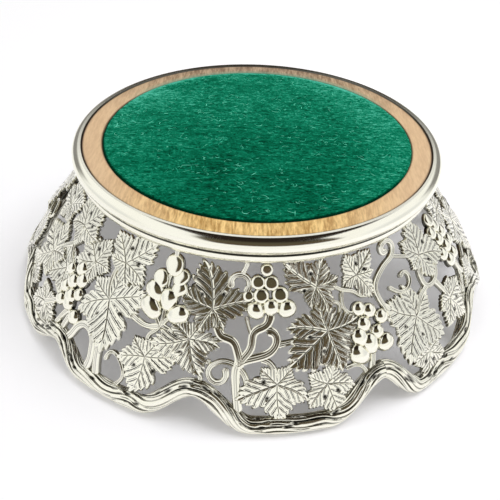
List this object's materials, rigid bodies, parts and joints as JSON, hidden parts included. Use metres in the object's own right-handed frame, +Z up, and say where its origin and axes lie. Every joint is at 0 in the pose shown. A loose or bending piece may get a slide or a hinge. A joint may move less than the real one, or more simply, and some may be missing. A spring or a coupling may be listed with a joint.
{
  "type": "wine bottle coaster",
  "caption": "Round wine bottle coaster stored upside down: baize and wood base in a stepped silver collar, bell-shaped pierced vine and grape side, wavy vine-branch rim",
  "frame": {"origin": "centre of the table plane that the wavy rim stands on, with the coaster upside down as pictured", "axes": "+Z up from the rim to the baize, -Y towards the picture's viewer, +X to the viewer's right; for use, turn half a turn about X"},
  "size_m": [0.1748, 0.1748, 0.0537],
  "materials": {
    "silver_plate": "polished silver plate on cast metal",
    "wood": "turned light hardwood, waxed",
    "baize": "short napped woollen baize"
  },
  "bodies": {
    "root": {"baize_disc": "baize", "wood_base": "wood", "base_collar": "silver_plate", "gallery_panel_1": "silver_plate", "gallery_panel_2": "silver_plate", "gallery_panel_3": "silver_plate", "gallery_panel_4": "silver_plate", "gallery_panel_5": "silver_plate", "gallery_panel_6": "silver_plate", "gallery_panel_7": "silver_plate", "gallery_panel_8": "silver_plate", "gallery_panel_9": "silver_plate", "gallery_panel_10": "silver_plate", "vine_rim_1": "silver_plate", "vine_rim_2": "silver_plate", "vine_rim_3": "silver_plate", "vine_rim_4": "silver_plate", "vine_rim_5": "silver_plate", "vine_rim_6": "silver_plate", "vine_rim_7": "silver_plate", "vine_rim_8": "silver_plate", "vine_rim_9": "silver_plate", "vine_rim_10": "silver_plate"}
  },
  "joints": []
}
